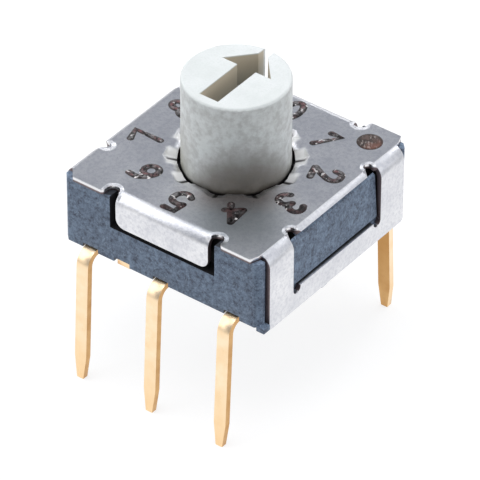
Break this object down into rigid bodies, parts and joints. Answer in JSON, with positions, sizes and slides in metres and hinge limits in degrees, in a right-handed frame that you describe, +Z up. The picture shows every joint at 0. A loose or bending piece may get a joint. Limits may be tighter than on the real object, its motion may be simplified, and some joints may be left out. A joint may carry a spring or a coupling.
{
  "type": "rotary dip switch",
  "caption": "Sealed rotary dip switch for a circuit board, with a slotted shaft, a folded steel cover and two rows of gold-plated pins.",
  "frame": {"origin": "centre of the pin pattern on the board's surface", "axes": "+Z up along the shaft, away from the board; +Y towards position 0; the pin rows run along X"},
  "size_m": [0.0073, 0.0084, 0.0096],
  "materials": {
    "housing": "matt moulded, glass-filled",
    "cover": "satin stainless sheet",
    "rotor": "matt moulded",
    "terminals": "gold plated",
    "seal": "matt",
    "spring": "rolled spring strip",
    "brush": "gold plated"
  },
  "bodies": {
    "housing": {"housing": "housing", "cover": "cover", "terminal_1": "terminals", "terminal_2": "terminals", "terminal_4": "terminals", "terminal_8": "terminals", "terminal_common": "terminals"},
    "rotor": {"rotor": "rotor", "seal_ring": "seal", "detent_spring": "spring", "contact_brush": "brush"}
  },
  "joints": [
    {"name": "rotor_turn", "type": "hinge", "parent": "housing", "child": "rotor", "pos_m": [0, 0, 0], "axis": [0, 0, 1], "continuous": true}
  ]
}
